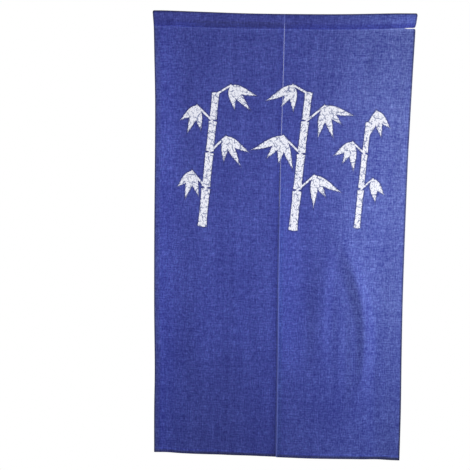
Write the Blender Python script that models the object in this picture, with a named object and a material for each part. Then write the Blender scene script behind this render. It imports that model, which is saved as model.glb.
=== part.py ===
# Noren doorway curtain: hemmed cloth panels that meet at a centre slit, under a rod-pocket heading.
# Metres, +Z up, the front faces -Y. The origin is the rod's axis at mid-span, inside the pocket.
import math
from collections import namedtuple

import bmesh
import bpy

# Cloth and hems
CLOTH = 0.0011
HEM_CLOTH = 0.0021
OUTER_HEM = 0.008
SLIT_HEM = 0.014
FOOT_HEM = 0.010
HEM_STEP = 0.0015
PIECE_GAP = 0.0003
CORNER_ROUND = 0.004

# Heading: a sleeve over a thin rod, stitched flat behind, with a short turned-in lip below the stitching
ROD_ROOM = 0.0067
HEADING_SAG = 0.0065
POCKET_FLOOR = 0.88
PUCKER_SHAPE = 6.75
LIP = 0.008
LIP_END = 0.0004
ARC_ANGLES = (12, 37, 63, 90)
WALL_LEVELS = (0.2, 0.4, 0.6, 0.8, 0.92, 1.0)
CUTTER_OVERRUN = 0.004
HEADING_END_STEPS = (0.0, 0.0012, 0.004, 0.012, 0.022, 0.032, 0.042, 0.056)
HEADING_PITCH = 0.026

# Panels
DROP = 1.500
FOOT_ROUND = 0.0025
COLUMN_PITCH = 0.0138
ROW_PITCH = 0.055
NOTCH_START = 0.383
NOTCH_RUN = 0.020
NOTCH_DEPTH = 0.0032
SLIT_FALL = 0.045

# Derived heights: everything in the tables is measured down from the heading's top corners
SLEEVE_RADIUS = ROD_ROOM + CLOTH
CORNER_Z = SLEEVE_RADIUS + HEADING_SAG
FRONT_FACE = -CLOTH / 2
HEM_BACK = FRONT_FACE + HEM_CLOTH
LIP_FRONT = HEM_BACK + PIECE_GAP
LIP_BACK = LIP_FRONT + CLOTH

EdgePoint = namedtuple("EdgePoint", "down x")
LinePoint = namedtuple("LinePoint", "x down")
LapPoint = namedtuple("LapPoint", "down lap step")
Fold = namedtuple("Fold", "x_top x_mid x_foot half_width height down_top down_foot open_foot")
Pucker = namedtuple("Pucker", "x half_width push")

LEFT_EDGE = (
    EdgePoint(0.004, -0.4250),
    EdgePoint(0.042, -0.4230),
    EdgePoint(0.130, -0.4210),
    EdgePoint(0.320, -0.4180),
    EdgePoint(0.720, -0.4206),
    EdgePoint(0.990, -0.4210),
    EdgePoint(1.205, -0.4190),
    EdgePoint(1.350, -0.4210),
    EdgePoint(1.500, -0.4210),
)
RIGHT_EDGE = (
    EdgePoint(0.007, 0.4250),
    EdgePoint(0.032, 0.4226),
    EdgePoint(0.045, 0.4198),
    EdgePoint(0.056, 0.4210),
    EdgePoint(0.180, 0.4180),
    EdgePoint(0.310, 0.4154),
    EdgePoint(0.505, 0.4122),
    EdgePoint(0.900, 0.4120),
    EdgePoint(1.110, 0.4150),
    EdgePoint(1.320, 0.4195),
    EdgePoint(1.500, 0.4208),
)
SLIT_LINE = (
    EdgePoint(0.004, 0.0020),
    EdgePoint(0.120, 0.0010),
    EdgePoint(0.260, 0.0000),
    EdgePoint(0.480, -0.0030),
    EdgePoint(0.840, -0.0020),
    EdgePoint(1.210, 0.0010),
    EdgePoint(1.500, 0.0020),
)
# From the middle down the right panel laps a little in front of the left one
SLIT_LAPS = (
    LapPoint(0.000, 0.0000, 0.0000),
    LapPoint(0.400, 0.0000, 0.0000),
    LapPoint(0.540, 0.0000, 0.0030),
    LapPoint(0.620, 0.0000, 0.0034),
    LapPoint(0.760, 0.0020, 0.0034),
    LapPoint(1.500, 0.0022, 0.0036),
)
TOP_LINE = (
    LinePoint(-0.425, 0.0000),
    LinePoint(-0.385, 0.0000),
    LinePoint(-0.260, 0.0031),
    LinePoint(-0.105, 0.0065),
    LinePoint(0.087, 0.0064),
    LinePoint(0.203, 0.0049),
    LinePoint(0.355, 0.0007),
    LinePoint(0.425, 0.0000),
)
SEAM_LINE = (
    LinePoint(-0.425, 0.0491),
    LinePoint(-0.300, 0.0521),
    LinePoint(-0.120, 0.0546),
    LinePoint(0.120, 0.0546),
    LinePoint(0.250, 0.0526),
    LinePoint(0.335, 0.0496),
    LinePoint(0.385, 0.0466),
    LinePoint(0.425, 0.0451),
)
# Crest paths of the folds; height is towards the viewer, and an open foot keeps its height to the hem
FOLDS = (
    Fold(0.150, 0.110, 0.100, 0.150, 0.0110, 0.062, 1.500, True),
    Fold(-0.250, -0.262, -0.262, 0.080, 0.0030, 0.300, 1.500, True),
    Fold(-0.140, -0.146, -0.146, 0.040, 0.0026, 0.300, 1.500, True),
    Fold(-0.360, -0.385, -0.378, 0.034, -0.0042, 0.640, 1.500, True),
    Fold(0.340, 0.332, 0.344, 0.034, -0.0050, 0.500, 1.500, True),
    Fold(-0.338, -0.330, -0.322, 0.036, -0.0046, 0.110, 0.720, False),
    Fold(-0.272, -0.272, -0.268, 0.034, 0.0034, 0.820, 1.360, False),
    Fold(0.162, 0.286, 0.225, 0.029, 0.0122, 0.660, 1.400, False),
    Fold(0.168, 0.140, 0.132, 0.034, 0.0076, 0.690, 1.240, False),
    Fold(0.292, 0.262, 0.240, 0.030, -0.0024, 0.070, 0.300, False),
)
PUCKERS = (
    Pucker(0.374, 0.016, -0.0013),
    Pucker(0.396, 0.010, 0.0012),
    Pucker(-0.405, 0.012, 0.0006),
    Pucker(-0.318, 0.030, -0.0007),
    Pucker(-0.150, 0.045, 0.0006),
    Pucker(0.110, 0.040, -0.0006),
    Pucker(0.255, 0.030, 0.0007),
)

PANEL_COLOR = (0.078, 0.102, 0.375)
HEADING_COLOR = (0.060, 0.078, 0.300)


def clear_scene():
    for item in list(bpy.data.objects):
        bpy.data.objects.remove(item, do_unlink=True)


def smoothstep(t):
    t = min(max(t, 0.0), 1.0)
    return t * t * (3.0 - 2.0 * t)


def read_table(rows, at, column="x"):
    # Smooth curve through a table, keyed by its first column: cubics whose slopes come from the rows beside
    keys = [row[0] for row in rows]
    values = [getattr(row, column) for row in rows]
    if at <= keys[0]:
        return values[0]
    if at >= keys[-1]:
        return values[-1]
    i = max(k for k in range(len(keys) - 1) if keys[k] <= at)

    def slope(k):
        low, high = max(k - 1, 0), min(k + 1, len(keys) - 1)
        return (values[high] - values[low]) / (keys[high] - keys[low])

    run = keys[i + 1] - keys[i]
    t = (at - keys[i]) / run
    start = (2 * t**3 - 3 * t**2 + 1) * values[i] + (t**3 - 2 * t**2 + t) * run * slope(i)
    end = (3 * t**2 - 2 * t**3) * values[i + 1] + (t**3 - t**2) * run * slope(i + 1)
    return start + end


def corner_drop(distance, radius):
    # How far a rounded corner has dropped at this distance from the edge
    if distance >= radius:
        return 0.0
    return radius - math.sqrt(max(radius**2 - (radius - distance) ** 2, 0.0))


def fold_height(x, down):
    # Height of the cloth towards the viewer, from the table of folds
    total = 0.0
    for fold in FOLDS:
        t = (down - fold.down_top) / (fold.down_foot - fold.down_top)
        if t <= 0.0 or (t >= 1.0 and not fold.open_foot):
            continue
        t = min(t, 1.0)
        strength = t if fold.open_foot else smoothstep(t / 0.35) * smoothstep((1.0 - t) / 0.4)
        crest = (
            fold.x_top * (1 - t) * (1 - 2 * t)
            + fold.x_mid * 4 * t * (1 - t)
            + fold.x_foot * t * (2 * t - 1)
        )
        total += fold.height * strength * math.exp(-(((x - crest) / fold.half_width) ** 2))
    return total


def slit_edge(down, side):
    # The panels' edges at the slit: side -1 is the left panel's, +1 the right panel's
    lap = read_table(SLIT_LAPS, down, "lap")
    return read_table(SLIT_LINE, down) + side * (PIECE_GAP - lap) / 2


def slit_step(x, down, side):
    # Where they lap, the left panel's edge stands back and the right panel's stands forward
    step = read_table(SLIT_LAPS, down, "step")
    away = (x - read_table(SLIT_LINE, down)) / SLIT_FALL
    return side * step / 2 * math.exp(-(away**2))


def notch_drop(x):
    return NOTCH_DEPTH * smoothstep((x - NOTCH_START) / NOTCH_RUN)


def cloth_material(name, color):
    material = bpy.data.materials.new(name)
    material.use_nodes = True
    shader = material.node_tree.nodes["Principled BSDF"]
    shader.inputs["Base Color"].default_value = (*color, 1.0)
    shader.inputs["Roughness"].default_value = 0.85
    shader.inputs["Metallic"].default_value = 0.0
    return material


def new_object(name, bm, material=None):
    mesh = bpy.data.meshes.new(name)
    bm.to_mesh(mesh)
    bm.free()
    item = bpy.data.objects.new(name, mesh)
    bpy.context.scene.collection.objects.link(item)
    if material:
        mesh.materials.append(material)
    return item


def even_steps(start, end, pitch):
    count = max(round((end - start) / pitch), 1)
    return [start + (end - start) * k / count for k in range(count + 1)]


def hem_steps(width, first_hem, last_hem, pitch):
    # Distances across a panel: a column on each side of every hem's inner edge, even columns between
    inside = even_steps(first_hem + HEM_STEP, width - last_hem - HEM_STEP, pitch)
    return [0.0, CORNER_ROUND, first_hem] + inside + [width - last_hem, width - CORNER_ROUND, width]


def build_panel(name, side, color):
    # One cloth panel as a grid on its front face, thickened to the back and more so at its hems
    outer_rows = LEFT_EDGE if side < 0 else RIGHT_EDGE
    width = abs(outer_rows[0].x)
    hems = (OUTER_HEM, SLIT_HEM) if side < 0 else (SLIT_HEM, OUTER_HEM)
    columns = [d / width for d in hem_steps(width, *hems, COLUMN_PITCH)]
    body_rows = even_steps(0.0, 1.0 - (FOOT_HEM + HEM_STEP) / DROP, ROW_PITCH / DROP)
    rows = body_rows + [1.0 - FOOT_HEM / DROP, 1.0]
    bm = bmesh.new()
    deform = bm.verts.layers.deform.verify()
    grid = []
    for u in columns:
        from_outer = u * width if side < 0 else (1.0 - u) * width
        x_flat = side * (width - from_outer)
        top = read_table(SEAM_LINE, x_flat, "down") + PIECE_GAP / 2 + notch_drop(x_flat)
        if x_flat > NOTCH_START:
            top += corner_drop(from_outer, CORNER_ROUND)
        foot = DROP - corner_drop(from_outer, FOOT_ROUND)
        in_side_hem = u <= hems[0] / width + 1e-6 or u >= 1.0 - hems[1] / width - 1e-6
        line = []
        for v in rows:
            down = top + (foot - top) * v
            outer, slit = read_table(outer_rows, down), slit_edge(down, side)
            left, right = (outer, slit) if side < 0 else (slit, outer)
            x = left + (right - left) * u
            y = FRONT_FACE - fold_height(x, down) - slit_step(x, down, side)
            vert = bm.verts.new((x, y, CORNER_Z - down))
            vert[deform][0] = 1.0 if in_side_hem or v >= rows[-2] else 0.0
            line.append(vert)
        grid.append(line)
    for left_line, right_line in zip(grid, grid[1:]):
        for k in range(len(rows) - 1):
            bm.faces.new((left_line[k], left_line[k + 1], right_line[k + 1], right_line[k]))
    item = new_object(name, bm, cloth_material(name, color))
    item.vertex_groups.new(name="hems")
    solid = item.modifiers.new("cloth thickness", "SOLIDIFY")
    solid.thickness = HEM_CLOTH
    solid.offset = -1.0
    solid.vertex_group = "hems"
    solid.thickness_vertex_group = CLOTH / HEM_CLOTH
    item.data.shade_smooth()
    return item


def pucker_push(x):
    return sum(p.push * math.exp(-(((x - p.x) / p.half_width) ** 2)) for p in PUCKERS)


def sleeve_section(x, from_end, inner):
    # Front and back points of the sleeve's section from its top down; inner gives the pocket's own wall
    top = CORNER_Z - read_table(TOP_LINE, x, "down") - corner_drop(from_end, CORNER_ROUND)
    seam = CORNER_Z - read_table(SEAM_LINE, x, "down") + PIECE_GAP / 2
    if x > NOTCH_START:
        seam += corner_drop(from_end, CORNER_ROUND)
    axis = top - SLEEVE_RADIUS
    wall = CLOTH if inner else 0.0
    radius = SLEEVE_RADIUS - wall
    front, back = [], []
    for angle in ARC_ANGLES:
        turn = math.radians(angle)
        z = axis + radius * math.cos(turn)
        front.append((-radius * math.sin(turn), z))
        back.append((radius * math.sin(turn), z))
    levels = [s for s in WALL_LEVELS if s < POCKET_FLOOR] + [POCKET_FLOOR] if inner else WALL_LEVELS
    for s in levels:
        pinch = smoothstep(s)
        z = axis + (seam - axis) * s
        push = pucker_push(x) * PUCKER_SHAPE * s * s * (1 - s)
        front.append((-SLEEVE_RADIUS + (SLEEVE_RADIUS + FRONT_FACE) * pinch + wall - push, z))
        back.append((SLEEVE_RADIUS - (SLEEVE_RADIUS - LIP_BACK) * pinch - wall, z))
    if inner:
        return front + back[::-1]
    lip = LIP * (1.0 - smoothstep((x - NOTCH_START + NOTCH_RUN) / NOTCH_RUN)) + LIP_END
    return front + [(LIP_FRONT, seam), (LIP_FRONT, seam - lip), (LIP_BACK, seam - lip)] + back[::-1]


def close_end(bm, ring, inner):
    # An end of the sleeve as a ladder of small flat faces between its front and back points
    rungs = len(ring) // 2 if inner else (len(ring) - 3) // 2
    front, back = ring[:rungs], ring[: -rungs - 1 : -1]
    for k in range(rungs - 1):
        corners = [front[k], front[k + 1], back[k + 1], back[k]]
        if not inner and k == rungs - 2:
            corners.insert(2, ring[rungs])
        bm.faces.new(corners)
    if not inner:
        bm.faces.new((ring[rungs], ring[rungs + 1], ring[rungs + 2], back[-1]))


def sweep_sleeve(side, inner):
    # The section at every station from the outer end to the slit, closed at both ends
    outer_rows = LEFT_EDGE if side < 0 else RIGHT_EDGE
    width = abs(outer_rows[0].x)
    middle = even_steps(HEADING_END_STEPS[-1], width, HEADING_PITCH)[1:]
    stations = list(HEADING_END_STEPS) + middle
    bm = bmesh.new()
    rings = []
    for number, from_end in enumerate(stations):
        x_flat = side * (width - from_end)
        u = from_end / width
        overrun = 0.0
        if inner and number in (0, len(stations) - 1):
            overrun = CUTTER_OVERRUN * (1 if number == 0 else -1)
        ring = []
        for y, z in sleeve_section(x_flat, from_end, inner):
            down = CORNER_Z - z
            outer, slit = read_table(outer_rows, down), read_table(SLIT_LINE, down) + side * PIECE_GAP / 2
            ring.append(bm.verts.new((outer + (slit - outer) * u + side * overrun, y, z)))
        rings.append(ring)
    count = len(rings[0])
    for ring, following in zip(rings, rings[1:]):
        for k in range(count):
            after = (k + 1) % count
            bm.faces.new((ring[k], ring[after], following[after], following[k]))
    close_end(bm, rings[0], inner)
    close_end(bm, rings[-1], inner)
    bmesh.ops.recalc_face_normals(bm, faces=bm.faces)
    return bm


def build_heading(name, side, color):
    # The sleeve is a solid with the pocket cut through it from end to end
    item = new_object(name, sweep_sleeve(side, False), cloth_material(name, color))
    cutter = new_object(name + "_pocket_cutter", sweep_sleeve(side, True))
    cutter.hide_render = True
    cutter.display_type = "WIRE"
    cut = item.modifiers.new("rod pocket", "BOOLEAN")
    cut.operation = "DIFFERENCE"
    cut.solver = "EXACT"
    cut.object = cutter
    item.data.shade_smooth()
    item.data.set_sharp_from_angle(angle=math.radians(40))
    return item


def build_curtain():
    clear_scene()
    build_heading("heading_left", -1, HEADING_COLOR)
    build_heading("heading_right", 1, HEADING_COLOR)
    build_panel("panel_left", -1, PANEL_COLOR)
    build_panel("panel_right", 1, PANEL_COLOR)


build_curtain()
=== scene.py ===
import math
from collections import namedtuple

import bpy
from mathutils import Matrix, Vector, noise


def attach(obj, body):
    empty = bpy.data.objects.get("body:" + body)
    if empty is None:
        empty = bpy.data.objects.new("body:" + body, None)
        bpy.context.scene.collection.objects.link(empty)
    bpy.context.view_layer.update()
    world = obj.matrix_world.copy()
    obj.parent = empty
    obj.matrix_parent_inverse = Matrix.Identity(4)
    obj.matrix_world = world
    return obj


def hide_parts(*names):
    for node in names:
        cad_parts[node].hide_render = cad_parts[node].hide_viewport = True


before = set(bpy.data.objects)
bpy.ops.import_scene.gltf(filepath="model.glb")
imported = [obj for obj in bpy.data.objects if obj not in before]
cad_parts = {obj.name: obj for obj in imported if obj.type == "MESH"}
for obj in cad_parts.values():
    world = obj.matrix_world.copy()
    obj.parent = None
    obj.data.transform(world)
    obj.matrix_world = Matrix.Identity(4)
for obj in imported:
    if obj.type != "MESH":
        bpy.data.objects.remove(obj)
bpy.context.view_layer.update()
print("frame loaded")

# Sizes that the heading and the panels share, in metres
cloth = {
    "width": 0.425,  # flat width of one panel
    "drop": 1.500,
    "body": 0.0010,  # one layer of cloth
    "hem": 0.0020,  # where a hem is turned under
    "outerHem": 0.008,
    "slitHem": 0.014,
    "footHem": 0.010,
    "corner": 0.004,
    "gap": 0.0003,  # between neighbouring pieces
    "sag": 0.0065,  # of the heading at mid-span
    "sleeveRadius": 0.0078,
    "notchStart": 0.383,
    "notchRun": 0.020,
    "notchDepth": 0.0032,
    "slitFall": 0.045,
}
cornerZ = cloth["sleeveRadius"] + cloth["sag"]  # height of the heading's top corners over the rod line

edgePoint = namedtuple("edgePoint", "down x")
linePoint = namedtuple("linePoint", "x down")
lapPoint = namedtuple("lapPoint", "down lap step")
fold = namedtuple("fold", "xTop xMid xFoot halfWidth height downTop downFoot openFoot")
pucker = namedtuple("pucker", "x halfWidth push")

leftEdge = (
    edgePoint(0.004, -0.4250),
    edgePoint(0.042, -0.4230),
    edgePoint(0.130, -0.4210),
    edgePoint(0.320, -0.4180),
    edgePoint(0.720, -0.4206),
    edgePoint(0.990, -0.4210),
    edgePoint(1.205, -0.4190),
    edgePoint(1.350, -0.4210),
    edgePoint(1.500, -0.4210),
)
rightEdge = (
    edgePoint(0.007, 0.4250),
    edgePoint(0.032, 0.4226),
    edgePoint(0.045, 0.4198),
    edgePoint(0.056, 0.4210),
    edgePoint(0.180, 0.4180),
    edgePoint(0.310, 0.4154),
    edgePoint(0.505, 0.4122),
    edgePoint(0.900, 0.4120),
    edgePoint(1.110, 0.4150),
    edgePoint(1.320, 0.4195),
    edgePoint(1.500, 0.4208),
)
slitLine = (
    edgePoint(0.004, 0.0020),
    edgePoint(0.120, 0.0010),
    edgePoint(0.260, 0.0000),
    edgePoint(0.480, -0.0030),
    edgePoint(0.840, -0.0020),
    edgePoint(1.210, 0.0010),
    edgePoint(1.500, 0.0020),
)
slitLaps = (
    lapPoint(0.000, 0.0000, 0.0000),
    lapPoint(0.400, 0.0000, 0.0000),
    lapPoint(0.540, 0.0000, 0.0030),
    lapPoint(0.620, 0.0000, 0.0034),
    lapPoint(0.760, 0.0020, 0.0034),
    lapPoint(1.500, 0.0022, 0.0036),
)
topLine = (
    linePoint(-0.425, 0.0000),
    linePoint(-0.385, 0.0000),
    linePoint(-0.260, 0.0031),
    linePoint(-0.105, 0.0065),
    linePoint(0.087, 0.0064),
    linePoint(0.203, 0.0049),
    linePoint(0.355, 0.0007),
    linePoint(0.425, 0.0000),
)
seamLine = (
    linePoint(-0.425, 0.0491),
    linePoint(-0.300, 0.0521),
    linePoint(-0.120, 0.0546),
    linePoint(0.120, 0.0546),
    linePoint(0.250, 0.0526),
    linePoint(0.335, 0.0496),
    linePoint(0.385, 0.0466),
    linePoint(0.425, 0.0451),
)
# The main folds, as the solids have them; height is towards the viewer
folds = (
    fold(0.150, 0.110, 0.100, 0.150, 0.0110, 0.062, 1.500, True),
    fold(-0.250, -0.262, -0.262, 0.080, 0.0030, 0.300, 1.500, True),
    fold(-0.140, -0.146, -0.146, 0.040, 0.0026, 0.300, 1.500, True),
    fold(-0.360, -0.385, -0.378, 0.034, -0.0042, 0.640, 1.500, True),
    fold(0.340, 0.332, 0.344, 0.034, -0.0050, 0.500, 1.500, True),
    fold(-0.338, -0.330, -0.322, 0.036, -0.0046, 0.110, 0.720, False),
    fold(-0.272, -0.272, -0.268, 0.034, 0.0034, 0.820, 1.360, False),
    fold(0.162, 0.286, 0.225, 0.029, 0.0122, 0.660, 1.400, False),
    fold(0.168, 0.140, 0.132, 0.034, 0.0076, 0.690, 1.240, False),
    fold(0.292, 0.262, 0.240, 0.030, -0.0024, 0.070, 0.300, False),
)
# Finer creases, placed on top of them
creases = (
    fold(0.228, 0.291, 0.232, 0.011, 0.0022, 0.800, 1.380, False),
    fold(0.236, 0.2475, 0.236, 0.016, 0.0028, 0.900, 1.400, False),
    fold(0.132, 0.256, 0.200, 0.013, -0.0009, 0.740, 1.360, False),
    fold(0.210, 0.324, 0.270, 0.012, -0.0019, 0.740, 1.370, False),
    fold(0.202, 0.205, 0.208, 0.018, 0.0022, 0.920, 1.320, False),
    fold(0.176, 0.152, 0.144, 0.012, 0.0010, 0.740, 1.220, False),
    fold(0.196, 0.176, 0.168, 0.012, -0.0012, 0.760, 1.200, False),
    fold(0.088, 0.098, 0.104, 0.015, -0.0009, 0.860, 1.260, False),
    fold(0.172, 0.178, 0.190, 0.012, -0.0007, 0.800, 1.240, False),
    fold(0.340, 0.348, 0.344, 0.014, 0.0020, 1.120, 1.470, False),
    fold(0.060, 0.052, 0.048, 0.018, 0.0006, 1.050, 1.480, False),
    fold(-0.152, -0.148, -0.140, 0.016, 0.0007, 0.640, 1.300, False),
    fold(-0.100, -0.104, -0.112, 0.014, -0.0006, 0.700, 1.180, False),
    fold(-0.300, -0.292, -0.288, 0.013, 0.0007, 0.880, 1.420, False),
    fold(-0.346, -0.350, -0.342, 0.012, -0.0007, 0.940, 1.360, False),
    fold(-0.050, -0.056, -0.052, 0.014, 0.0006, 0.980, 1.460, False),
    fold(-0.382, -0.372, -0.366, 0.012, 0.0009, 0.100, 0.560, False),
    fold(-0.290, -0.296, -0.304, 0.014, 0.0008, 0.090, 0.420, False),
    fold(-0.236, -0.228, -0.220, 0.011, -0.0006, 0.070, 0.260, False),
    fold(0.312, 0.286, 0.262, 0.010, 0.0009, 0.064, 0.240, False),
    fold(0.246, 0.238, 0.236, 0.009, -0.0008, 0.066, 0.170, False),
    fold(0.380, 0.376, 0.370, 0.012, -0.0007, 0.064, 0.300, False),
    fold(0.398, 0.392, 0.390, 0.009, 0.0007, 0.120, 0.700, False),
    fold(0.120, 0.112, 0.108, 0.014, -0.0005, 0.064, 0.200, False),
)
puckers = (
    pucker(0.374, 0.016, -0.0013),
    pucker(0.396, 0.010, 0.0012),
    pucker(-0.405, 0.012, 0.0006),
    pucker(-0.318, 0.030, -0.0007),
    pucker(-0.150, 0.045, 0.0006),
    pucker(0.110, 0.040, -0.0006),
    pucker(0.255, 0.030, 0.0007),
)


def smooth(t):
    t = min(max(t, 0.0), 1.0)
    return t * t * (3.0 - 2.0 * t)


def readTable(rows, at, column="x"):
    # a smooth curve through a table that is keyed by its first column
    if at <= rows[0][0]:
        return getattr(rows[0], column)
    if at >= rows[-1][0]:
        return getattr(rows[-1], column)
    i = 0
    while rows[i + 1][0] <= at:
        i += 1

    def slope(k):
        low, high = rows[max(k - 1, 0)], rows[min(k + 1, len(rows) - 1)]
        return (getattr(high, column) - getattr(low, column)) / (high[0] - low[0])

    run = rows[i + 1][0] - rows[i][0]
    t = (at - rows[i][0]) / run
    start = (2 * t**3 - 3 * t**2 + 1) * getattr(rows[i], column) + (t**3 - 2 * t**2 + t) * run * slope(i)
    end = (3 * t**2 - 2 * t**3) * getattr(rows[i + 1], column) + (t**3 - t**2) * run * slope(i + 1)
    return start + end


def cornerDrop(distance, radius):
    if distance >= radius:
        return 0.0
    return radius - math.sqrt(max(radius**2 - (radius - distance) ** 2, 0.0))


def foldHeight(rows, x, down):
    total = 0.0
    for row in rows:
        t = (down - row.downTop) / (row.downFoot - row.downTop)
        if t <= 0.0 or (t >= 1.0 and not row.openFoot):
            continue
        t = min(t, 1.0)
        strength = t if row.openFoot else smooth(t / 0.35) * smooth((1.0 - t) / 0.4)
        crest = row.xTop * (1 - t) * (1 - 2 * t) + row.xMid * 4 * t * (1 - t) + row.xFoot * t * (2 * t - 1)
        away = (x - crest) / row.halfWidth
        if abs(away) < 3.5:
            total += row.height * strength * math.exp(-(away**2))
    return total


def slitEdge(down, side):
    lap = readTable(slitLaps, down, "lap")
    return readTable(slitLine, down) + side * (cloth["gap"] - lap) / 2


def slitStep(x, down, side):
    step = readTable(slitLaps, down, "step")
    away = (x - readTable(slitLine, down)) / cloth["slitFall"]
    return side * step / 2 * math.exp(-(away**2))


def seamTop(x):
    # where the panel starts, just under the heading's stitched edge
    notch = cloth["notchDepth"] * smooth((x - cloth["notchStart"]) / cloth["notchRun"])
    return readTable(seamLine, x, "down") + cloth["gap"] / 2 + notch


def evenSteps(start, end, pitch):
    count = max(round((end - start) / pitch), 1)
    return [start + (end - start) * k / count for k in range(count + 1)]


def activate(piece):
    bpy.ops.object.select_all(action="DESELECT")
    piece.select_set(True)
    bpy.context.view_layer.objects.active = piece


def applyModifiers(piece):
    activate(piece)
    for modifier in list(piece.modifiers):
        bpy.ops.object.modifier_apply(modifier=modifier.name)


def gridSheet(name, columns, rows, spot):
    # a grid primitive whose points are laid on the cloth; spot gives a place and its flat coordinates
    bpy.ops.object.select_all(action="DESELECT")
    bpy.ops.mesh.primitive_grid_add(
        x_subdivisions=len(columns) - 1, y_subdivisions=len(rows) - 1, size=1, location=(0, 0, 0)
    )
    sheet = bpy.context.object
    sheet.name = name
    sheet.data.name = name
    flat = {}
    for vert in sheet.data.vertices:
        i = round((vert.co.x + 0.5) * (len(columns) - 1))
        j = round((0.5 - vert.co.y) * (len(rows) - 1))
        vert.co, flat[vert.index] = spot(i, j)
    layer = sheet.data.uv_layers[0]
    layer.name = "cloth"
    for loop in sheet.data.loops:
        layer.data[loop.index].uv = flat[loop.vertex_index]
    sheet.data.update()
    return sheet


# The camera stands where the photograph was taken from, on a level with the heading
cameraPlace = {
    "location": (0.0993, -4.0, -0.0079),
    "yaw": -3.567,
    "pitch": -10.049,
    "roll": 0.697,
    "lens": 93.71,
}


def placeCamera():
    yaw, pitch, roll = (math.radians(cameraPlace[k]) for k in ("yaw", "pitch", "roll"))
    ahead = Vector((math.sin(yaw) * math.cos(pitch), math.cos(yaw) * math.cos(pitch), math.sin(pitch)))
    right = Vector((math.cos(yaw), -math.sin(yaw), 0.0))
    up = right.cross(ahead)
    rolledRight = right * math.cos(roll) + up * math.sin(roll)
    rolledUp = up * math.cos(roll) - right * math.sin(roll)
    turn = Matrix((rolledRight, rolledUp, -ahead)).transposed()
    bpy.ops.object.camera_add(location=cameraPlace["location"], rotation=turn.to_euler())
    camera = bpy.context.object
    camera.name = "camera"
    camera.data.lens = cameraPlace["lens"]
    bpy.context.scene.camera = camera


# Soft studio light: a key from the upper right, a wide fill from the left, a pale sky that is white behind
studio = {
    "keyPlace": (1.55, -0.94, -0.57),
    "keyAim": (0.20, 0.0, -0.62),
    "keySize": 0.7,
    "keyPower": 14.6,
    "fillPlace": (-1.30, -1.20, -0.40),
    "fillAim": (-0.25, 0.0, -0.52),
    "fillSize": 1.0,
    "fillPower": 6.2,
    "spread": 115.0,
    "frontSky": 0.238,
    "backSky": 1.0,
    "floorZ": -2.0,
    "floorSize": 5.2,
    "floorTone": (0.66, 0.66, 0.67, 1.0),
    "skyTurn": (0.45, 0.80),  # from the front sky's strength to the back sky's
}


def softLight(name, place, aim, size, power):
    away = Vector(place) - Vector(aim)
    bpy.ops.object.light_add(type="AREA", location=place, rotation=away.to_track_quat("Z", "Y").to_euler())
    light = bpy.context.object
    light.name = name
    light.data.shape = "DISK"
    light.data.size = size
    light.data.energy = power
    light.data.spread = math.radians(studio["spread"])
    light.visible_camera = False


def lightStudio():
    softLight("key", studio["keyPlace"], studio["keyAim"], studio["keySize"], studio["keyPower"])
    softLight("fill", studio["fillPlace"], studio["fillAim"], studio["fillSize"], studio["fillPower"])
    world = bpy.data.worlds.new("sky")
    bpy.context.scene.world = world
    world.use_nodes = True
    tree = world.node_tree
    background = tree.nodes["Background"]
    direction = tree.nodes.new("ShaderNodeTexCoord")
    parts = tree.nodes.new("ShaderNodeSeparateXYZ")
    tree.links.new(direction.outputs["Generated"], parts.inputs[0])
    ramp = tree.nodes.new("ShaderNodeMapRange")
    ramp.interpolation_type = "SMOOTHSTEP"
    for index, value in enumerate((*studio["skyTurn"], studio["frontSky"], studio["backSky"]), 1):
        ramp.inputs[index].default_value = value
    tree.links.new(parts.outputs["Y"], ramp.inputs[0])
    tree.links.new(ramp.outputs[0], background.inputs["Strength"])
    background.inputs["Color"].default_value = (1.0, 1.0, 1.0, 1.0)
    bpy.context.scene.view_settings.view_transform = "Standard"


class Wire:
    # a socket that writes its own Math nodes
    def __init__(self, paint, socket):
        self.paint = paint
        self.socket = socket

    def __add__(self, other):
        return self.paint.math("ADD", self, other)

    def __sub__(self, other):
        return self.paint.math("SUBTRACT", self, other)

    def __rsub__(self, other):
        return self.paint.math("SUBTRACT", other, self)

    def __mul__(self, other):
        return self.paint.math("MULTIPLY", self, other)

    __radd__ = __add__
    __rmul__ = __mul__


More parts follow.
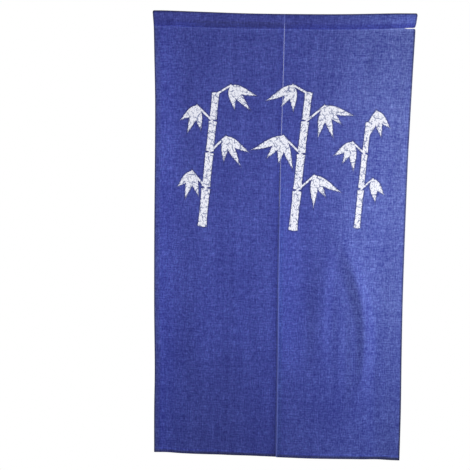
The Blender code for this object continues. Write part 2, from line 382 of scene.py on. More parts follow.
class Paint:
    # one material and the nodes in it
    def __init__(self, name, roughness, sheen=0.0):
        self.material = bpy.data.materials.new(name)
        self.material.use_nodes = True
        self.tree = self.material.node_tree
        self.shader = self.tree.nodes["Principled BSDF"]
        self.shader.inputs["Roughness"].default_value = roughness
        self.shader.inputs["Sheen Weight"].default_value = sheen
        self.shader.inputs["Sheen Roughness"].default_value = 0.6

    def add(self, kind, settings, values, output=0):
        node = self.tree.nodes.new(kind)
        for key, value in settings.items():
            setattr(node, key, value)
        for key, value in values.items() if isinstance(values, dict) else enumerate(values):
            if isinstance(value, Wire):
                self.tree.links.new(value.socket, node.inputs[key])
            else:
                node.inputs[key].default_value = value
        return Wire(self, node.outputs[output])

    def math(self, operation, *values):
        return self.add("ShaderNodeMath", {"operation": operation}, values)

    def band(self, value, start, end, low=0.0, high=1.0):
        # low before start, high after end, and a soft step between
        stops = {0: value, 1: start, 2: end, 3: low, 4: high}
        return self.add("ShaderNodeMapRange", {"interpolation_type": "SMOOTHSTEP"}, stops)

    def stripe(self, value, start, full, fade, end):
        # nothing outside start and end, all between full and fade, and soft steps between
        return self.band(value, start, full) * self.band(value, fade, end, 1.0, 0.0)

    def grain(self, flat, across, down, detail=2.0):
        # noise with its own pitch across and down the cloth, in cells a metre
        spot = self.add("ShaderNodeVectorMath", {"operation": "MULTIPLY"}, [flat, (across, down, 1.0)])
        values = {"Vector": spot, "Scale": 1.0, "Detail": detail, "Roughness": 0.55}
        return self.add("ShaderNodeTexNoise", {"noise_dimensions": "2D"}, values) - 0.5

    def blend(self, factor, first, second):
        return self.add("ShaderNodeMix", {"data_type": "RGBA"}, {0: factor, 6: first, 7: second}, 2)

    def scale(self, color, tone):
        values = {0: color if isinstance(color, Wire) else color[:3], "Scale": tone}
        return self.add("ShaderNodeVectorMath", {"operation": "SCALE"}, values)

    def finish(self, color, height=None, distance=0.0002, strength=0.5):
        self.tree.links.new(color.socket, self.shader.inputs["Base Color"])
        if height is not None:
            values = {"Strength": strength, "Distance": distance, "Height": height}
            bump = self.add("ShaderNodeBump", {}, values)
            self.tree.links.new(bump.socket, self.shader.inputs["Normal"])
        return self.material


# The printed design: canes with joints, branchlets and fans of drooping leaves, in white with crackle veins.
# Places are flat cloth coordinates: x across from the slit, down from the heading's top corners
caneRow = namedtuple("caneRow", "footX footDown tipX tipDown width joints")
twigRow = namedtuple("twigRow", "x down toX toDown width")
fanRow = namedtuple("fanRow", "x down length angles")

bamboo = {
    "leafHalfWidth": 0.0118,
    "leafBend": 0.55,
    "leafFray": 0.20,
    "caneShrink": 0.88,
    "caneGap": 0.0050,
    "caneFlare": 0.16,
    "caneTaper": 0.06,  # how much slimmer each length is than the one below it
    "showThrough": 0.34,  # how much of the ink shows on the back
    "coarseVeins": (46.0, 0.12),  # cells a metre, and the share of a cell that a vein's half takes
    "fineVeins": (96.0, 0.13),
    "ink": (0.81, 0.82, 0.905, 1.0),
    "vein": (0.115, 0.145, 0.310, 1.0),
    "canes": (
        caneRow(-0.262, 0.706, -0.222, 0.262, 0.026, 4),
        caneRow(0.046, 0.712, 0.086, 0.256, 0.026, 4),
        caneRow(0.262, 0.700, 0.288, 0.350, 0.018, 3),
    ),
    "twigs": (
        twigRow(-0.250, 0.576, -0.298, 0.522, 0.0058),
        twigRow(-0.240, 0.458, -0.186, 0.405, 0.0058),
        twigRow(-0.230, 0.356, -0.284, 0.306, 0.0058),
        twigRow(-0.222, 0.268, -0.172, 0.238, 0.0054),
        twigRow(0.058, 0.578, 0.114, 0.528, 0.0058),
        twigRow(0.068, 0.458, 0.006, 0.400, 0.0058),
        twigRow(0.078, 0.352, 0.140, 0.300, 0.0058),
        twigRow(0.086, 0.262, 0.034, 0.234, 0.0054),
        twigRow(0.272, 0.570, 0.310, 0.536, 0.0048),
        twigRow(0.280, 0.454, 0.238, 0.416, 0.0048),
        twigRow(0.288, 0.354, 0.312, 0.314, 0.0048),
    ),
    "fans": (
        fanRow(-0.298, 0.522, 0.097, (-44, -14, 16)),
        fanRow(-0.186, 0.405, 0.110, (58, 28, -4)),
        fanRow(-0.284, 0.306, 0.097, (-50, -20, 10)),
        fanRow(-0.172, 0.238, 0.106, (70, 40, 10)),
        fanRow(0.114, 0.528, 0.112, (60, 30, 0)),
        fanRow(0.006, 0.400, 0.115, (-66, -36, -8, 18)),
        fanRow(0.140, 0.300, 0.114, (74, 46, 18, -10)),
        fanRow(0.034, 0.234, 0.102, (-60, -28, 2)),
        fanRow(0.310, 0.536, 0.086, (38, 8)),
        fanRow(0.238, 0.416, 0.095, (-54, -24, 4)),
        fanRow(0.312, 0.314, 0.098, (42, 14, -16)),
    ),
}


def strokeAxes(x, down, toX, toDown):
    # unit steps along and across a stroke that runs from one place to another
    length = math.hypot(toX - x, toDown - down)
    along = ((toX - x) / length, (toDown - down) / length)
    return length, along, (along[1], -along[0])


def dotRow(paint, place, axis, x, down, unit):
    # distance from (x, down) along an axis, in units
    values = [place, (axis[0] / unit, axis[1] / unit, -(x * axis[0] + down * axis[1]) / unit)]
    return paint.add("ShaderNodeVectorMath", {"operation": "DOT_PRODUCT"}, values, 1)


def leafDepth(paint, place, x, down, angle, length, bend):
    # how far inside a leaf a point lies, in metres: pointed at both ends, widest near its stem
    turn = math.radians(angle)
    along, across = (math.sin(turn), math.cos(turn)), (math.cos(turn), -math.sin(turn))
    peak = 0.4725
    unit = bamboo["leafHalfWidth"] / peak
    toTip = 1.0 - dotRow(paint, place, along, x, down, length)
    off = dotRow(paint, place, across, x, down, unit)
    square = toTip * toTip
    shape = toTip * (1.0 - square * toTip)
    curved = paint.math("ABSOLUTE", off - (square - toTip) * bend)
    split = paint.math("ABSOLUTE", paint.math("SINE", off * 22.0 + angle))
    dry = split * (1.0 - toTip) * (1.0 - toTip) * bamboo["leafFray"]
    return (shape - curved - dry) * unit


def caneDepth(paint, place, x, down, toX, toDown, width):
    # one length of cane between two joints, a little wider at its ends
    length, along, across = strokeAxes(x, down, toX, toDown)
    middle = ((x + toX) / 2, (down + toDown) / 2)
    half = width / 2
    run = dotRow(paint, place, along, *middle, length / 2)
    off = dotRow(paint, place, across, *middle, half)
    square = run * run
    side = 1.0 + square * square * bamboo["caneFlare"] - paint.math("ABSOLUTE", off)
    end = (1.0 - paint.math("ABSOLUTE", run) - off * off * 0.03) * (length / width)
    return paint.math("MINIMUM", side, end) * half


def twigDepth(paint, place, row):
    length, along, across = strokeAxes(row.x, row.down, row.toX, row.toDown)
    middle = ((row.x + row.toX) / 2, (row.down + row.toDown) / 2)
    run = paint.math("ABSOLUTE", dotRow(paint, place, along, *middle, 1.0))
    off = paint.math("ABSOLUTE", dotRow(paint, place, across, *middle, 1.0))
    return paint.math("MINIMUM", row.width / 2 - off, length / 2 + row.width / 2 - run)


def caneLengths(row):
    # the cane's pieces from its foot up, each shorter than the one below it
    length, along, _ = strokeAxes(row.footX, row.footDown, row.tipX, row.tipDown)
    shares = [bamboo["caneShrink"] ** k for k in range(row.joints)]
    inkedRun = length - bamboo["caneGap"] * (row.joints - 1)
    start = 0.0
    for share in shares:
        end = start + inkedRun * share / sum(shares)
        ends = []
        for d in (start, end):
            ends += [row.footX + along[0] * d, row.footDown + along[1] * d]
        yield ends
        start = end + bamboo["caneGap"]


def bambooDepth(paint, place):
    # the whole design as one depth inside its strokes, in metres
    depths = []
    for row in bamboo["canes"]:
        for number, ends in enumerate(caneLengths(row)):
            depths.append(lambda ends=ends, row=row, number=number: caneDepth(
                paint, place, *ends, row.width * (1.0 - bamboo["caneTaper"] * number)))
    for row in bamboo["twigs"]:
        depths.append(lambda row=row: twigDepth(paint, place, row))
    for row in bamboo["fans"]:
        for number, angle in enumerate(row.angles):
            length = row.length * (0.90 + 0.14 * math.cos(2.1 * number + 9.0 * row.x))
            bend = bamboo["leafBend"] * (1 if angle > 0 else -1) * abs(math.sin(math.radians(angle)))
            depths.append(lambda row=row, angle=angle, length=length, bend=bend: leafDepth(
                paint, place, row.x, row.down, angle, length, bend))
    total = depths[0]()
    for depth in depths[1:]:
        total = paint.math("MAXIMUM", total, depth())
    return total


def crackle(paint, flat, fray):
    # dark veins where the ink has cracked, coarse ones and finer ones, each broken up along its length
    drift = paint.add(
        "ShaderNodeTexNoise", {"noise_dimensions": "2D"}, {"Vector": flat, "Scale": 60.0, "Detail": 2.0}, 1
    )
    spot = paint.add("ShaderNodeVectorMath", {"operation": "MULTIPLY_ADD"}, [drift, (0.010,) * 3, flat])
    total = None
    for (cells, share), breaks in ((bamboo["coarseVeins"], 70), (bamboo["fineVeins"], 130)):
        cell = {"voronoi_dimensions": "2D", "feature": "DISTANCE_TO_EDGE"}
        edge = paint.add("ShaderNodeTexVoronoi", cell, {"Vector": spot, "Scale": cells})
        vein = paint.band(edge + fray * 0.10, share * 0.3, share, 1.0, 0.0)
        vein = vein * paint.band(paint.grain(flat, breaks, breaks), -0.06, 0.05)
        total = vein if total is None else paint.math("MAXIMUM", total, vein * 0.8)
    return total * 0.9


# Indigo slub cloth: cross-dyed threads and thick and thin yarns, with colours for painted light and shade as
# well
indigo = {
    "panel": (0.031, 0.045, 0.294, 1.0),
    "purple": (0.048, 0.042, 0.306, 1.0),
    "green": (0.020, 0.054, 0.270, 1.0),
    # paler, greyer blue for the painted light towards the right
    "rightLit": (0.070, 0.098, 0.380, 1.0),
    "heading": (0.0265, 0.0375, 0.252, 1.0),
    # the same painted light on the heading
    "headingRightLit": (0.048, 0.072, 0.330, 1.0),
    # darker blue for the painted shade above the seam
    "shadeAboveSeam": (0.017, 0.027, 0.255, 1.0),
    "bandBlue": (0.020, 0.056, 0.304, 1.0),
    "rubbedAndLit": (0.162, 0.203, 0.655, 1.0),
    # deep blue of the painted shadow beside the slit
    "slitShadow": (0.0140, 0.0232, 0.2360, 1.0),
    "topTint": (1.0, 1.0, 0.96, 1.0),
    "footTint": (0.97, 1.01, 1.05, 1.0),
    "slitShadeTint": (0.95, 0.98, 1.00, 1.0),
    "leftHemTint": (0.97, 0.96, 0.78, 1.0),
    # bluer, for the painted shade low on the right
    "lowRightShadeTint": (0.92, 0.98, 1.22, 1.0),
    "speckle": (1.28, 1.18, 0.54),  # how far the threads vary in red, green and blue
    "mottle": 1.45,
    "warpSlub": 1.35,
    "weftSlub": 1.30,
    "clouds": 0.60,
    "bars": 0.55,
    "fleck": 0.30,
    "threadPitch": 0.0011,
    "roughness": 0.86,
    "sheen": 0.10,
}

# Painted light and shade on the cloth, and a few places rubbed paler: soft steps across or down it in metres,
# and how strong they are
paintedLightAndWear = {
    "outerHem": (0.4180, 0.4215),
    "footHem": (1.4885, 1.4915),
    "edgeShadeDark": 0.55,
    "footLine": (1.4815, 1.4830, 1.4850, 1.4870),
    "footLineLift": 0.25,
    "lowLeftShade": (-0.34, -0.26, -0.14, -0.06),
    "lowLeftShadeDark": 0.07,
    "lowRightShadeDark": 0.17,
    "leftEdgeLight": 0.19,
    "rightDark": 0.07,
    "besideSlit": (0.0, 0.004, 0.03, 0.11),
    "besideSlitLightLift": 0.15,
    "besideSlitLightTone": 0.12,
    "rightFold": (-0.0004, 0.0003, 0.0022, 0.0036),
    "leftFold": (-0.0074, -0.0036, -0.0004, 0.0003),
    "rimDark": 0.40,  # round the printed strokes
    "seamBow": 0.035,
    "seamRubAndLightTone": 0.49,
    "seamRubAndLightLift": 0.22,
    "seamEdgeRubAndLightLift": 0.35,
    "endShadeDark": 0.45,
    "topFoldShadeDark": 0.40,
    "shadeAboveSeamDark": 0.26,
    "rightEndLightLift": 0.14,
}


def weaveHeight(paint, flat, u, v):
    # raised threads and slubs for the bump
    turns = 2 * math.pi / indigo["threadPitch"]
    warp = paint.math("SINE", u * turns)
    weft = paint.math("SINE", v * turns)
    return warp * weft * 0.35 + paint.grain(flat, 950, 38) * 1.6 + paint.grain(flat, 34, 900) * 1.6


def clothTone(paint, flat):
    mottle = paint.grain(flat, 170, 150, 1.5) * indigo["mottle"]
    warp = paint.grain(flat, 260, 42, 1.0) * indigo["warpSlub"]
    weft = paint.grain(flat, 42, 260, 1.0) * indigo["weftSlub"]
    clouds = paint.grain(flat, 9, 5) * indigo["clouds"]
    bars = (paint.grain(flat, 70, 3) + paint.grain(flat, 4, 80)) * indigo["bars"]
    tone = mottle + warp + weft + clouds + bars
    return tone + tone * tone * indigo["fleck"]


def weaveColor(paint, color, tone):
    # slubs change the red and green of the cloth more than its blue
    shift = paint.add(
        "ShaderNodeVectorMath", {"operation": "MULTIPLY_ADD"}, [tone, indigo["speckle"], (1.0, 1.0, 1.0)]
    )
    return paint.add("ShaderNodeVectorMath", {"operation": "MULTIPLY"}, [color, shift])


def lightBesideSlit(paint, u, v):
    # painted light on the right panel beside the slit, where its raised hem catches the key light, most of
    # all at mid height
    across = paint.stripe(u, *paintedLightAndWear["besideSlit"])
    return across * paint.band(v, 0.45, 0.70, 0.3, 1.0) * paint.band(v, 1.08, 1.28, 1.0, 0.0)


def hemTone(paint, u, v):
    # painted shade at the rolled outer edges and the foot, painted light and shade over broad places, a paler
    # line above the foot hem, and painted light beside the slit
    outer = paint.band(paint.math("ABSOLUTE", u), *paintedLightAndWear["outerHem"])
    foot = paint.band(v, *paintedLightAndWear["footHem"])
    # painted shade along the rolled outer edges and the foot
    edgeShade = paint.math("MAXIMUM", outer, foot) * paintedLightAndWear["edgeShadeDark"]
    # painted shade low on the left and right, painted light along the left edge where the light falls, and
    # darker along the right
    lowLeftShade = paint.stripe(u, *paintedLightAndWear["lowLeftShade"]) * paint.band(v, 1.05, 1.25) * paintedLightAndWear["lowLeftShadeDark"]
    lowRightShade = paint.band(u, 0.05, 0.40) * paint.band(v, 0.70, 1.40) * paintedLightAndWear["lowRightShadeDark"]
    leftEdgeLight = paint.band(u, -0.4120, -0.3100, 1.0, 0.0) * paintedLightAndWear["leftEdgeLight"]
    rightDark = paint.band(u, 0.3100, 0.4120) * paintedLightAndWear["rightDark"]
    footLine = paint.stripe(v, *paintedLightAndWear["footLine"]) * paintedLightAndWear["footLineLift"]
    # painted light beside the slit
    besideSlitLight = lightBesideSlit(paint, u, v) * paintedLightAndWear["besideSlitLightLift"]
    return 1.0 - edgeShade - lowRightShade - lowLeftShade + besideSlitLight + leftEdgeLight - rightDark + footLine


def slitShade(paint, u, v):
    # painted shade at the slit: on the left panel's hem, which the right panel's edge shades, strongest
    # towards the foot; and a milder dark band on the right panel's hem higher up
    slide = paint.band(v, 0.4, 0.9, 0.0, 0.0040)
    left = paint.band(u, -0.0260, -0.0110) * paint.band(u + slide, -0.0060, -0.0010, 1.0, 0.0)
    left = left * paint.band(v, 0.1, 1.4, 0.50, 0.80)
    right = paint.stripe(u, 0.0020, 0.0040, 0.0100, 0.0180)
    return left + right * paint.band(v, 0.1, 0.9, 0.22, 0.0)


def slitRubbedAndLit(paint, u, v):
    # the folded edges at the slit are painted paler: partly rubbed, partly a painted highlight on the folds
    # and painted light over the lap's shadow on the left panel, a little wider below where the panels lap
    rightFold = paint.stripe(u, *paintedLightAndWear["rightFold"])
    leftFold = paint.stripe(u, *paintedLightAndWear["leftFold"])
    lower = paint.band(v, 0.4, 0.9)
    return rightFold * (0.27 + lower * 0.33) + leftFold * lower * 0.60


def clothBase(name):
    # a cloth finish with its flat coordinates, across from the slit and down, and a painted light that makes
    # it paler and greyer to the right, where the key light falls
    paint = Paint(name, indigo["roughness"], indigo["sheen"])
    flat = paint.add("ShaderNodeUVMap", {"uv_map": "cloth"}, {})
    u = paint.add("ShaderNodeSeparateXYZ", {}, [flat])
    v = Wire(paint, u.socket.node.outputs["Y"])
    # painted light, strongest at the right edge
    rightLightMask = paint.band(u + paint.grain(flat, 6, 3) * 0.15, -0.16, 0.44)
    return paint, flat, u, v, rightLightMask


def panelPaint(name):
    paint, flat, u, v, rightLightMask = clothBase(name)
    body = paint.blend(rightLightMask * rightLightMask, indigo["panel"], indigo["rightLit"])
    hue = paint.grain(flat, 130, 90)
    body = paint.blend(paint.band(hue, 0.02, 0.16) * 0.2, body, indigo["purple"])
    body = paint.blend(paint.band(hue, -0.16, -0.03, 1.0, 0.0) * 0.2, body, indigo["green"])
    slitBand = paint.stripe(u, 0.0010, 0.0025, 0.0110, 0.0190)
    body = paint.blend(slitBand * paint.band(v, 0.2, 1.2, 0.1, 0.4), body, indigo["bandBlue"])
    tint = paint.blend(paint.band(v, 0.4, 1.3), indigo["topTint"], indigo["footTint"])
    # a slight tint near the slit, for the painted shade there
    nearSlit = paint.stripe(u, -0.0180, -0.0060, 0.0100, 0.0180)
    tint = paint.blend(nearSlit * paint.band(v, 0.1, 1.2, 0.2, 1.0), tint, indigo["slitShadeTint"])
    tint = paint.blend(paint.band(u, -0.4160, -0.4000, 1.0, 0.0), tint, indigo["leftHemTint"])
    # painted shade low on the right: darker and bluer there
    lowRightShade = paint.band(u, 0.02, 0.36) * paint.band(v, 0.85, 1.40)
    tint = paint.blend(lowRightShade, tint, indigo["lowRightShadeTint"])
    body = paint.add("ShaderNodeVectorMath", {"operation": "MULTIPLY"}, [body, tint])
    # painted shadow beside the slit, blended towards a deep blue
    body = paint.blend(slitShade(paint, u, v), body, indigo["slitShadow"])
    place = paint.add("ShaderNodeCombineXYZ", {}, [u, v, 1.0])
    fray = paint.grain(flat, 420, 420, 3.0)
    depth = bambooDepth(paint, place) + fray * 0.0040
    rim = paint.band(depth, -0.0062, -0.0018) * paintedLightAndWear["rimDark"]
    # a pale line runs just under the heading's stitches: partly rubbed, partly a painted highlight on the
    # ridge there, which faces up into the light
    level = v + u * u * paintedLightAndWear["seamBow"]
    seamRubAndLight = paint.band(level, 0.0530, 0.0680, paintedLightAndWear["seamRubAndLightTone"], 0.0)
    seam = paint.band(level, 0.0545, 0.0615, paintedLightAndWear["seamRubAndLightLift"], 0.0)
    # painted light beside the slit, which also makes it paler and greyer
    slitLightTone = lightBesideSlit(paint, u, v) * paintedLightAndWear["besideSlitLightTone"]
    body = weaveColor(paint, body, clothTone(paint, flat) + seamRubAndLight + slitLightTone)
    color = paint.scale(body, hemTone(paint, u, v) * (1.0 - rim + seam))
    # the slit edges painted paler: rubbed, and a painted highlight
    color = paint.blend(slitRubbedAndLit(paint, u, v), color, indigo["rubbedAndLit"])
    ink = paint.blend(crackle(paint, flat, fray), bamboo["ink"], bamboo["vein"])
    # the ink is painted darker towards the right, to offset the key light there
    ink = paint.scale(ink, 1.0 + paint.grain(flat, 300, 300) * 0.44 - rightLightMask * 0.12)
    inked = paint.band(depth, -0.0006, 0.0004) * 1.0
    inked.socket.node.name = "ink strength"  # full here, and less on the back
    color = paint.blend(inked, color, ink)
    return paint.finish(color, weaveHeight(paint, flat, u, v) + inked * 0.3)


def showThrough(front, name, strength):
    # the back of the cloth, where the print shows only faintly
    back = front.copy()
    back.name = name
    back.node_tree.nodes["ink strength"].inputs[1].default_value = strength
    return back


def headingPaint(name):
    paint, flat, u, v, rightLightMask = clothBase(name)
    # painted light towards the right on the heading too
    body = paint.blend(rightLightMask * rightLightMask, indigo["heading"], indigo["headingRightLit"])
    body = paint.blend(paint.band(paint.grain(flat, 130, 90), 0.02, 0.16) * 0.2, body, indigo["purple"])
    # painted shade at the heading's ends
    ends = paint.band(paint.math("ABSOLUTE", u), 0.4170, 0.4230) * paintedLightAndWear["endShadeDark"]
    # painted shade along the heading's top fold, where it turns away over the rod
    topFoldShade = paint.stripe(v, -0.0110, -0.0060, 0.0010, 0.0060) * paintedLightAndWear["topFoldShadeDark"]
    level = v + u * u * paintedLightAndWear["seamBow"]
    # painted shade above the seam, where the pocket's lower curve turns down away from the light
    shadeAboveSeam = paint.band(level, 0.0350, 0.0430) * paint.band(u, -0.40, -0.31, 0.50, 0.85)
    body = paint.blend(shadeAboveSeam, body, indigo["shadeAboveSeam"])
    leftOfSlit = paint.stripe(u, -0.33, -0.25, -0.05, 0.10)
    # more painted shade above the seam, left of the slit
    deeperShade = paint.band(level, 0.0290, 0.0370) * leftOfSlit * paintedLightAndWear["shadeAboveSeamDark"]
    # the heading's lower edge painted paler: partly rubbed, partly a painted highlight
    seamEdgeRubAndLight = paint.band(level, 0.0518, 0.0532) * paintedLightAndWear["seamEdgeRubAndLightLift"]
    # painted light towards the heading's right end
    rightEndLight = paint.band(u, 0.34, 0.40) * paintedLightAndWear["rightEndLightLift"]
    body = paint.scale(body, 1.0 - deeperShade + seamEdgeRubAndLight + rightEndLight)
    color = paint.scale(weaveColor(paint, body, clothTone(paint, flat)), 1.0 - ends - topFoldShade)
    # at the slit the heading is painted paler: partly rubbed, partly a painted highlight on the seam
    rubbedAndLit = paint.band(paint.math("ABSOLUTE", u), 0.0008, 0.0026, 0.42, 0.0)
    color = paint.blend(rubbedAndLit, color, indigo["rubbedAndLit"])
    return paint.finish(color, weaveHeight(paint, flat, u, v))


def threadPaint(name, color):
    paint = Paint(name, 0.55, 0.2)
    spot = paint.add("ShaderNodeTexCoord", {}, {}, 3)
    twist = paint.add("ShaderNodeTexNoise", {}, {"Vector": spot, "Scale": 1800.0, "Detail": 1.0})
    tone = paint.scale(color, 0.75 + twist * 0.5)
    return paint.finish(tone, twist, 0.0001, 0.6)


# The two panels: thin sheets on the solids' folds, with finer creases and the cloth's own unevenness
panel = {
    "pitch": 0.0052,
    "footRound": 0.0025,
    "edgeRoll": 0.0012,
    "edgeRollRun": 0.0035,
    "slitCalm": 0.0025,  # keeps the folded slit edges flatter than the others
    "seamDip": 0.0005,
    "seamDipRun": 0.0060,
    "wave": 0.0007,
    "ripple": 0.00016,
    "edgeBevel": 0.00035,
    "hemStep": 0.0013,
    "flatDrop": 1.448,  # what hangs below the seam
}


def hemColumns(first, last):
    # distances across a panel, close together at its edges and at each hem's inner edge
    fine = [0.0, 0.0007, 0.0015, 0.0025, 0.004]
    width = cloth["width"]
    start = fine + [first, first + panel["hemStep"]]
    end = [width - d for d in [last + panel["hemStep"], last] + fine[::-1]]
    return start[:-1] + evenSteps(start[-1], end[0], panel["pitch"]) + end[1:]


def panelRows(length):
    start = [0.0, 0.001, 0.002, 0.0035, 0.005, 0.0075, 0.010, 0.014]
    foot = cloth["footHem"]
    end = [length - d for d in (foot + panel["hemStep"], foot, 0.007, 0.004, 0.0025, 0.0015, 0.0007, 0.0)]
    return start[:-1] + evenSteps(start[-1], end[0], panel["pitch"]) + end[1:]


def clothSpot(side, fromOuter, top, down):
    # place of the cloth's front face, at a flat distance in from the outer edge and down from the top corners
    outer = readTable(leftEdge if side < 0 else rightEdge, down)
    slit = slitEdge(down, side)
    x = outer + (slit - outer) * fromOuter / cloth["width"]
    edge = min(fromOuter, cloth["width"] - fromOuter + panel["slitCalm"], cloth["drop"] - down)
    roll = panel["edgeRoll"] * max(1.0 - edge / panel["edgeRollRun"], 0.0) ** 2
    dip = panel["seamDip"] * (1.0 - smooth((down - top) / panel["seamDipRun"]))
    calm = smooth((down - top) / 0.06)
    wave = noise.noise(Vector((x * 13, down * 4.5, side * 3.7))) * panel["wave"]
    ripple = noise.noise(Vector((x * 60, down * 24, side * 5.1))) * panel["ripple"]
    height = foldHeight(folds, x, down) + foldHeight(creases, x, down) + (wave + ripple) * calm
    y = -cloth["body"] / 2 - height - slitStep(x, down, side) + roll + dip
    return Vector((x, y, cornerZ - down))


def makePanel(name, side, front, back):
    hems = (cloth["outerHem"], cloth["slitHem"]) if side < 0 else (cloth["slitHem"], cloth["outerHem"])
    columns = hemColumns(*hems)
    rows = panelRows(cloth["drop"] - max(point.down for point in seamLine))
    hemWeight = {}

    def spot(i, j):
        fromOuter = columns[i] if side < 0 else cloth["width"] - columns[i]
        xFlat = side * (cloth["width"] - fromOuter)
        top = seamTop(xFlat)
        if xFlat > cloth["notchStart"]:
            top += cornerDrop(fromOuter, cloth["corner"])
        foot = cloth["drop"] - cornerDrop(fromOuter, panel["footRound"])
        down = top + (foot - top) * rows[j] / rows[-1]
        fromSlit = cloth["width"] - fromOuter
        inSide = max(
            smooth((cloth["outerHem"] + panel["hemStep"] - fromOuter) / panel["hemStep"]),
            smooth((cloth["slitHem"] + panel["hemStep"] - fromSlit) / panel["hemStep"]),
        )
        inFoot = smooth((cloth["footHem"] + panel["hemStep"] - (foot - down)) / panel["hemStep"])
        underHeading = smooth((down - top - 0.010) / 0.004)
        hemWeight[i, j] = max(inSide, inFoot) * underHeading
        return clothSpot(side, fromOuter, top, down), (xFlat, down)

    sheet = gridSheet(name, columns, rows, spot)
    group = sheet.vertex_groups.new(name="hems")
    count = len(columns)
    for vert in sheet.data.vertices:
        i, j = vert.index % count, len(rows) - 1 - vert.index // count
        group.add([vert.index], hemWeight[i, j], "REPLACE")
    sheet.data.materials.append(front)
    sheet.data.materials.append(back)
    solid = sheet.modifiers.new("cloth", "SOLIDIFY")
    solid.thickness = cloth["hem"]
    solid.offset = -1.0
    solid.vertex_group = "hems"
    solid.thickness_vertex_group = cloth["body"] / cloth["hem"]
    solid.material_offset = 1
    bevel = sheet.modifiers.new("soft edges", "BEVEL")
    bevel.width = panel["edgeBevel"]
    bevel.segments = 2
    bevel.limit_method = "ANGLE"
    bevel.angle_limit = math.radians(50)
    applyModifiers(sheet)
    bpy.ops.object.shade_smooth()
    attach(sheet, "root")
    return sheet


# The headings: rod pockets folded from one sheet, with the raw edge turned in behind the stitches
heading = {
    "lip": 0.008,
    "lipEnd": 0.0006,
    "innerY": 0.0021,
    "backY": 0.0033,
    "turnIn": 0.006,
    "wallSteps": 16,
    "arcSteps": 18,
    "turnSteps": 5,
    "puckerShape": 6.75,  # brings the bulge's greatest height to the pucker's push
    "flatDrop": 0.129,  # both walls, the turn over the rod, the lip and the turned-in edge
    "wave": 0.00045,
}


def sleevePath(x, fromEnd):
    # the pocket's section from its front stitched edge, over the rod and down to the turned-in lip
    top = cornerZ - readTable(topLine, x, "down") - cornerDrop(fromEnd, cloth["corner"])
    seam = cornerZ - readTable(seamLine, x, "down") + cloth["gap"] / 2
    if x > cloth["notchStart"]:
        seam += cornerDrop(fromEnd, cloth["corner"])
    axis = top - cloth["sleeveRadius"]
    radius = cloth["sleeveRadius"] - cloth["body"] / 2
    push = sum(p.push * math.exp(-(((x - p.x) / p.halfWidth) ** 2)) for p in puckers)
    steps = heading["wallSteps"]
    path = []
    for k in range(steps):
        s = 1.0 - k / steps
        wave = noise.noise(Vector((x * 26, s * 1.7, 8.3))) * heading["wave"] * 4 * s * (1 - s)
        bulge = push * heading["puckerShape"] * s * s * (1 - s) + wave
        path.append((-radius * (1.0 - smooth(s)) - bulge, axis + (seam - axis) * s))
    for k in range(heading["arcSteps"] + 1):
        turn = math.pi * (k / heading["arcSteps"] - 0.5)
        path.append((radius * math.sin(turn), axis + radius * math.cos(turn)))
    for k in range(1, steps + 1):
        s = k / steps
        path.append((radius - (radius - heading["backY"]) * smooth(s), axis + (seam - axis) * s))
    lip = heading["lip"] * (1.0 - smooth((x - cloth["notchStart"] + cloth["notchRun"]) / cloth["notchRun"]))
    bottom = seam - lip - heading["lipEnd"]
    half = (heading["backY"] - heading["innerY"]) / 2
    for k in range(heading["turnSteps"] + 1):
        turn = math.pi * k / heading["turnSteps"]
        middle = heading["innerY"] + half
        path.append((middle + half * math.cos(turn), bottom + half - half * math.sin(turn)))
    path.append((heading["innerY"], seam))
    path.append((heading["innerY"], seam + heading["turnIn"]))
    return path


def makeHeading(name, side, paint):
    fine = [0.0, 0.0008, 0.002, 0.004, 0.006, 0.009]
    columns = fine[:-1] + evenSteps(fine[-1], cloth["width"] - 0.006, panel["pitch"])
    columns += [cloth["width"] - d for d in (0.004, 0.002, 0.0008, 0.0)]
    if side > 0:
        columns = [cloth["width"] - d for d in columns[::-1]]
    paths = []
    for d in columns:
        fromOuter = d if side < 0 else cloth["width"] - d
        xFlat = side * (cloth["width"] - fromOuter)
        section = sleevePath(xFlat, fromOuter)
        run, line = 0.0, []
        for k, (y, z) in enumerate(section):
            if k:
                run += math.hypot(y - section[k - 1][0], z - section[k - 1][1])
            down = cornerZ - z
            outer = readTable(leftEdge if side < 0 else rightEdge, down)
            slit = readTable(slitLine, down) + side * cloth["gap"] / 2
            x = outer + (slit - outer) * fromOuter / cloth["width"]
            line.append((Vector((x, y, z)), (xFlat, readTable(seamLine, xFlat, "down") - run)))
        paths.append(line)
    rows = list(range(len(paths[0])))
    sheet = gridSheet(name, columns, rows, lambda i, j: paths[i][len(rows) - 1 - j])
    sheet.data.materials.append(paint)
    solid = sheet.modifiers.new("cloth", "SOLIDIFY")
    solid.thickness = cloth["body"]
    solid.offset = 0.0
    bevel = sheet.modifiers.new("soft edges", "BEVEL")
    bevel.width = 0.0003
    bevel.segments = 2
    bevel.limit_method = "ANGLE"
    bevel.angle_limit = math.radians(50)
    applyModifiers(sheet)
    bpy.ops.object.shade_smooth()
    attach(sheet, "root")
    return sheet


# Rows of lockstitch along the heading and the hems
stitch = {
    "length": 0.0028,
    "pitch": 0.0037,
    "radius": 0.00026,
    "sink": 0.00010,
    "seamBelow": 0.0014,
    "hemsBelow": 0.0070,
    "fromHemEdge": 0.0012,
    "firstIn": 0.005,
    "lastIn": 0.004,
    "paleThread": (0.17, 0.21, 0.54, 1.0),
    "blueThread": (0.085, 0.110, 0.40, 1.0),
}


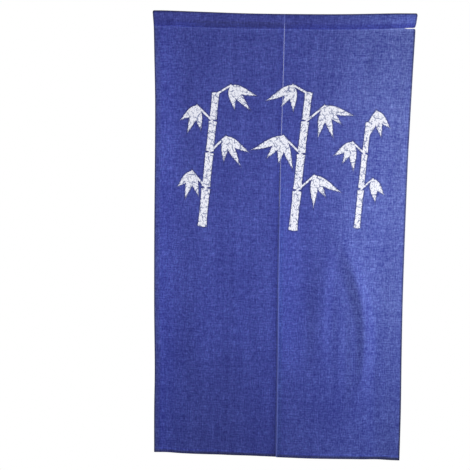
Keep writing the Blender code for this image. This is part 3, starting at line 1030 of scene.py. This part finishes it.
def stitchRow(name, spots, paint):
    # one stitch modelled once, then copied along the row and joined
    bpy.ops.object.select_all(action="DESELECT")
    bpy.ops.mesh.primitive_uv_sphere_add(segments=6, ring_count=5, radius=1.0, location=(0, 0, 0))
    one = bpy.context.object
    points = [v.co.copy() for v in one.data.vertices]
    polygons = [tuple(p.vertices) for p in one.data.polygons]
    verts, faces = [], []
    for place, along in spots:
        outward = Vector((0.0, -1.0, 0.0))
        across = along.cross(outward).normalized()
        start = len(verts)
        for p in points:
            verts.append(
                place
                + along * (p.z * stitch["length"] / 2)
                + across * (p.x * stitch["radius"])
                + outward * (p.y * stitch["radius"] - stitch["sink"])
            )
        faces += [tuple(start + k for k in face) for face in polygons]
    mesh = bpy.data.meshes.new(name)
    mesh.from_pydata(verts, [], faces)
    row = bpy.data.objects.new(name, mesh)
    bpy.context.scene.collection.objects.link(row)
    bpy.data.objects.remove(one, do_unlink=True)
    mesh.materials.append(paint)
    activate(row)
    bpy.ops.object.mode_set(mode="EDIT")
    bpy.ops.mesh.select_all(action="SELECT")
    bpy.ops.mesh.normals_make_consistent(inside=False)
    bpy.ops.object.mode_set(mode="OBJECT")
    bpy.ops.object.shade_smooth()
    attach(row, "root")
    return row


def alongPath(spotAt, start, end):
    # stitch places and directions along a line on the cloth
    spots = []
    for at in evenSteps(start, end, stitch["pitch"]):
        here, ahead = spotAt(at), spotAt(at + 0.001)
        spots.append((here, (ahead - here).normalized()))
    return spots


def seamStitches(side):
    def spotAt(fromOuter):
        top = seamTop(side * (cloth["width"] - fromOuter))
        return clothSpot(side, fromOuter, top, top + stitch["seamBelow"])

    lastStitch = cloth["width"] - stitch["lastIn"]
    firstStitch = stitch["firstIn"] if side < 0 else cloth["width"] - cloth["notchStart"]
    return alongPath(spotAt, firstStitch, lastStitch)


def hemStitches(side):
    edge = stitch["fromHemEdge"]
    outer, slit = cloth["outerHem"] - edge, cloth["width"] - cloth["slitHem"] + edge
    lowest = cloth["drop"] - cloth["footHem"] + edge
    top = max(point.down for point in seamLine)
    first = top + stitch["hemsBelow"]
    rows = alongPath(lambda down: clothSpot(side, outer, top, down), first, lowest)
    rows += alongPath(lambda down: clothSpot(side, slit, top, down), first, lowest)
    rows += alongPath(lambda fromOuter: clothSpot(side, fromOuter, top, lowest), outer, slit)
    return rows


def makeFloor():
    size, z = studio["floorSize"], studio["floorZ"]
    bpy.ops.object.select_all(action="DESELECT")
    bpy.ops.mesh.primitive_plane_add(size=size, location=(0.0, 1.0 - size / 2, z))
    floor = bpy.context.object
    floor.name = "floor"
    paint = Paint("floorPaint", 0.9)
    spot = paint.add("ShaderNodeTexCoord", {}, {}, 3)
    cloudy = paint.add("ShaderNodeTexNoise", {}, {"Vector": spot, "Scale": 2.0, "Detail": 2.0})
    floor.data.materials.append(paint.finish(paint.scale(studio["floorTone"], 0.99 + cloudy * 0.02)))


placeCamera()
lightStudio()
print("camera and light placed")

frontPaint = panelPaint("indigoFront")
backPaint = showThrough(frontPaint, "indigoBack", bamboo["showThrough"])
sleevePaint = headingPaint("indigoHeading")
paleThread = threadPaint("paleThread", stitch["paleThread"])
blueThread = threadPaint("blueThread", stitch["blueThread"])
print("cloth and thread finishes made")

for side, word in ((-1, "left"), (1, "right")):
    sleeve = makeHeading("heading_cloth_" + word, side, sleevePaint)
    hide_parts("heading_" + word)
    print("heading", word, "made")
    drape = makePanel("panel_cloth_" + word, side, frontPaint, backPaint)
    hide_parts("panel_" + word)
    print("panel", word, "made")
    seamRow = stitchRow("seam_stitches_" + word, seamStitches(side), paleThread)
    hemRow = stitchRow("hem_stitches_" + word, hemStitches(side), blueThread)
    print("stitches", word, "made")

makeFloor()
